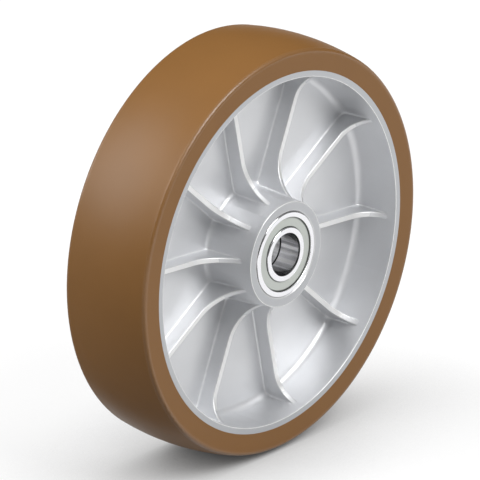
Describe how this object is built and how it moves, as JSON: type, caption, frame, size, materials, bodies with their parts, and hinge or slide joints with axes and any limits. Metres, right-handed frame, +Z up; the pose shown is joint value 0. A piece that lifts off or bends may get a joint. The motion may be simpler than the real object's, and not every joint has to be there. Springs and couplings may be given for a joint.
{
  "type": "heavy duty wheel",
  "caption": "Heavy duty wheel with a ribbed cast aluminium centre, a crowned brown polyurethane tread and two shielded ball bearings on a through bore.",
  "frame": {"origin": "centre of the wheel, on the bore's axis in the middle plane", "axes": "+Y along the bore, the front face looks along -Y, +Z up"},
  "size_m": [0.25, 0.07, 0.25],
  "materials": {
    "polyurethane_tread": "brown cast polyurethane, satin",
    "cast_aluminium": "die cast, satin",
    "tube_steel": "drawn tube",
    "bearing_steel": "ground bearing steel",
    "ball_steel": "polished bearing steel",
    "shield_steel": "zinc plated pressed sheet",
    "cage_steel": "pressed strip"
  },
  "bodies": {
    "axle_core": {"spacer_tube": "tube_steel", "front_inner_ring": "bearing_steel", "rear_inner_ring": "bearing_steel"},
    "wheel": {"tread": "polyurethane_tread", "cast_centre": "cast_aluminium", "front_outer_ring": "bearing_steel", "front_outer_shield": "shield_steel", "front_inner_shield": "shield_steel", "rear_outer_ring": "bearing_steel", "rear_outer_shield": "shield_steel", "rear_inner_shield": "shield_steel"},
    "front_cage": {"front_cage_outer_half": "cage_steel", "front_cage_inner_half": "cage_steel", "front_cage_rivets": "cage_steel"},
    "front_ball_1": {"front_ball_1": "ball_steel"},
    "front_ball_2": {"front_ball_2": "ball_steel"},
    "front_ball_3": {"front_ball_3": "ball_steel"},
    "front_ball_4": {"front_ball_4": "ball_steel"},
    "front_ball_5": {"front_ball_5": "ball_steel"},
    "front_ball_6": {"front_ball_6": "ball_steel"},
    "front_ball_7": {"front_ball_7": "ball_steel"},
    "front_ball_8": {"front_ball_8": "ball_steel"},
    "front_ball_9": {"front_ball_9": "ball_steel"},
    "rear_cage": {"rear_cage_outer_half": "cage_steel", "rear_cage_inner_half": "cage_steel", "rear_cage_rivets": "cage_steel"},
    "rear_ball_1": {"rear_ball_1": "ball_steel"},
    "rear_ball_2": {"rear_ball_2": "ball_steel"},
    "rear_ball_3": {"rear_ball_3": "ball_steel"},
    "rear_ball_4": {"rear_ball_4": "ball_steel"},
    "rear_ball_5": {"rear_ball_5": "ball_steel"},
    "rear_ball_6": {"rear_ball_6": "ball_steel"},
    "rear_ball_7": {"rear_ball_7": "ball_steel"},
    "rear_ball_8": {"rear_ball_8": "ball_steel"},
    "rear_ball_9": {"rear_ball_9": "ball_steel"}
  },
  "joints": [
    {"name": "wheel_spin", "type": "hinge", "parent": "axle_core", "child": "wheel", "pos_m": [0, 0, 0], "axis": [0, 1, 0], "continuous": true},
    {"name": "front_cage_spin", "type": "hinge", "parent": "axle_core", "child": "front_cage", "pos_m": [0, -0.0275, 0], "axis": [0, 1, 0], "continuous": true},
    {"name": "front_ball_1_roll", "type": "hinge", "parent": "front_cage", "child": "front_ball_1", "pos_m": [0.01925, -0.0275, 0], "axis": [0, 1, 0], "continuous": true},
    {"name": "front_ball_2_roll", "type": "hinge", "parent": "front_cage", "child": "front_ball_2", "pos_m": [0.01475, -0.0275, 0.01237], "axis": [0, 1, 0], "continuous": true},
    {"name": "front_ball_3_roll", "type": "hinge", "parent": "front_cage", "child": "front_ball_3", "pos_m": [0.00334, -0.0275, 0.01896], "axis": [0, 1, 0], "continuous": true},
    {"name": "front_ball_4_roll", "type": "hinge", "parent": "front_cage", "child": "front_ball_4", "pos_m": [-0.00962, -0.0275, 0.01667], "axis": [0, 1, 0], "continuous": true},
    {"name": "front_ball_5_roll", "type": "hinge", "parent": "front_cage", "child": "front_ball_5", "pos_m": [-0.01809, -0.0275, 0.00658], "axis": [0, 1, 0], "continuous": true},
    {"name": "front_ball_6_roll", "type": "hinge", "parent": "front_cage", "child": "front_ball_6", "pos_m": [-0.01809, -0.0275, -0.00658], "axis": [0, 1, 0], "continuous": true},
    {"name": "front_ball_7_roll", "type": "hinge", "parent": "front_cage", "child": "front_ball_7", "pos_m": [-0.00962, -0.0275, -0.01667], "axis": [0, 1, 0], "continuous": true},
    {"name": "front_ball_8_roll", "type": "hinge", "parent": "front_cage", "child": "front_ball_8", "pos_m": [0.00334, -0.0275, -0.01896], "axis": [0, 1, 0], "continuous": true},
    {"name": "front_ball_9_roll", "type": "hinge", "parent": "front_cage", "child": "front_ball_9", "pos_m": [0.01475, -0.0275, -0.01237], "axis": [0, 1, 0], "continuous": true},
    {"name": "rear_cage_spin", "type": "hinge", "parent": "axle_core", "child": "rear_cage", "pos_m": [0, 0.0275, 0], "axis": [0, 1, 0], "continuous": true},
    {"name": "rear_ball_1_roll", "type": "hinge", "parent": "rear_cage", "child": "rear_ball_1", "pos_m": [0.01925, 0.0275, 0], "axis": [0, 1, 0], "continuous": true},
    {"name": "rear_ball_2_roll", "type": "hinge", "parent": "rear_cage", "child": "rear_ball_2", "pos_m": [0.01475, 0.0275, 0.01237], "axis": [0, 1, 0], "continuous": true},
    {"name": "rear_ball_3_roll", "type": "hinge", "parent": "rear_cage", "child": "rear_ball_3", "pos_m": [0.00334, 0.0275, 0.01896], "axis": [0, 1, 0], "continuous": true},
    {"name": "rear_ball_4_roll", "type": "hinge", "parent": "rear_cage", "child": "rear_ball_4", "pos_m": [-0.00962, 0.0275, 0.01667], "axis": [0, 1, 0], "continuous": true},
    {"name": "rear_ball_5_roll", "type": "hinge", "parent": "rear_cage", "child": "rear_ball_5", "pos_m": [-0.01809, 0.0275, 0.00658], "axis": [0, 1, 0], "continuous": true},
    {"name": "rear_ball_6_roll", "type": "hinge", "parent": "rear_cage", "child": "rear_ball_6", "pos_m": [-0.01809, 0.0275, -0.00658], "axis": [0, 1, 0], "continuous": true},
    {"name": "rear_ball_7_roll", "type": "hinge", "parent": "rear_cage", "child": "rear_ball_7", "pos_m": [-0.00962, 0.0275, -0.01667], "axis": [0, 1, 0], "continuous": true},
    {"name": "rear_ball_8_roll", "type": "hinge", "parent": "rear_cage", "child": "rear_ball_8", "pos_m": [0.00334, 0.0275, -0.01896], "axis": [0, 1, 0], "continuous": true},
    {"name": "rear_ball_9_roll", "type": "hinge", "parent": "rear_cage", "child": "rear_ball_9", "pos_m": [0.01475, 0.0275, -0.01237], "axis": [0, 1, 0], "continuous": true}
  ],
  "couplings": [
    {"joint": "front_cage_spin", "follows": "wheel_spin", "ratio": 0.60309},
    {"joint": "front_ball_1_roll", "follows": "wheel_spin", "ratio": 2.322},
    {"joint": "front_ball_2_roll", "follows": "wheel_spin", "ratio": 2.322},
    {"joint": "front_ball_3_roll", "follows": "wheel_spin", "ratio": 2.322},
    {"joint": "front_ball_4_roll", "follows": "wheel_spin", "ratio": 2.322},
    {"joint": "front_ball_5_roll", "follows": "wheel_spin", "ratio": 2.322},
    {"joint": "front_ball_6_roll", "follows": "wheel_spin", "ratio": 2.322},
    {"joint": "front_ball_7_roll", "follows": "wheel_spin", "ratio": 2.322},
    {"joint": "front_ball_8_roll", "follows": "wheel_spin", "ratio": 2.322},
    {"joint": "front_ball_9_roll", "follows": "wheel_spin", "ratio": 2.322},
    {"joint": "rear_cage_spin", "follows": "wheel_spin", "ratio": 0.60309},
    {"joint": "rear_ball_1_roll", "follows": "wheel_spin", "ratio": 2.322},
    {"joint": "rear_ball_2_roll", "follows": "wheel_spin", "ratio": 2.322},
    {"joint": "rear_ball_3_roll", "follows": "wheel_spin", "ratio": 2.322},
    {"joint": "rear_ball_4_roll", "follows": "wheel_spin", "ratio": 2.322},
    {"joint": "rear_ball_5_roll", "follows": "wheel_spin", "ratio": 2.322},
    {"joint": "rear_ball_6_roll", "follows": "wheel_spin", "ratio": 2.322},
    {"joint": "rear_ball_7_roll", "follows": "wheel_spin", "ratio": 2.322},
    {"joint": "rear_ball_8_roll", "follows": "wheel_spin", "ratio": 2.322},
    {"joint": "rear_ball_9_roll", "follows": "wheel_spin", "ratio": 2.322}
  ]
}
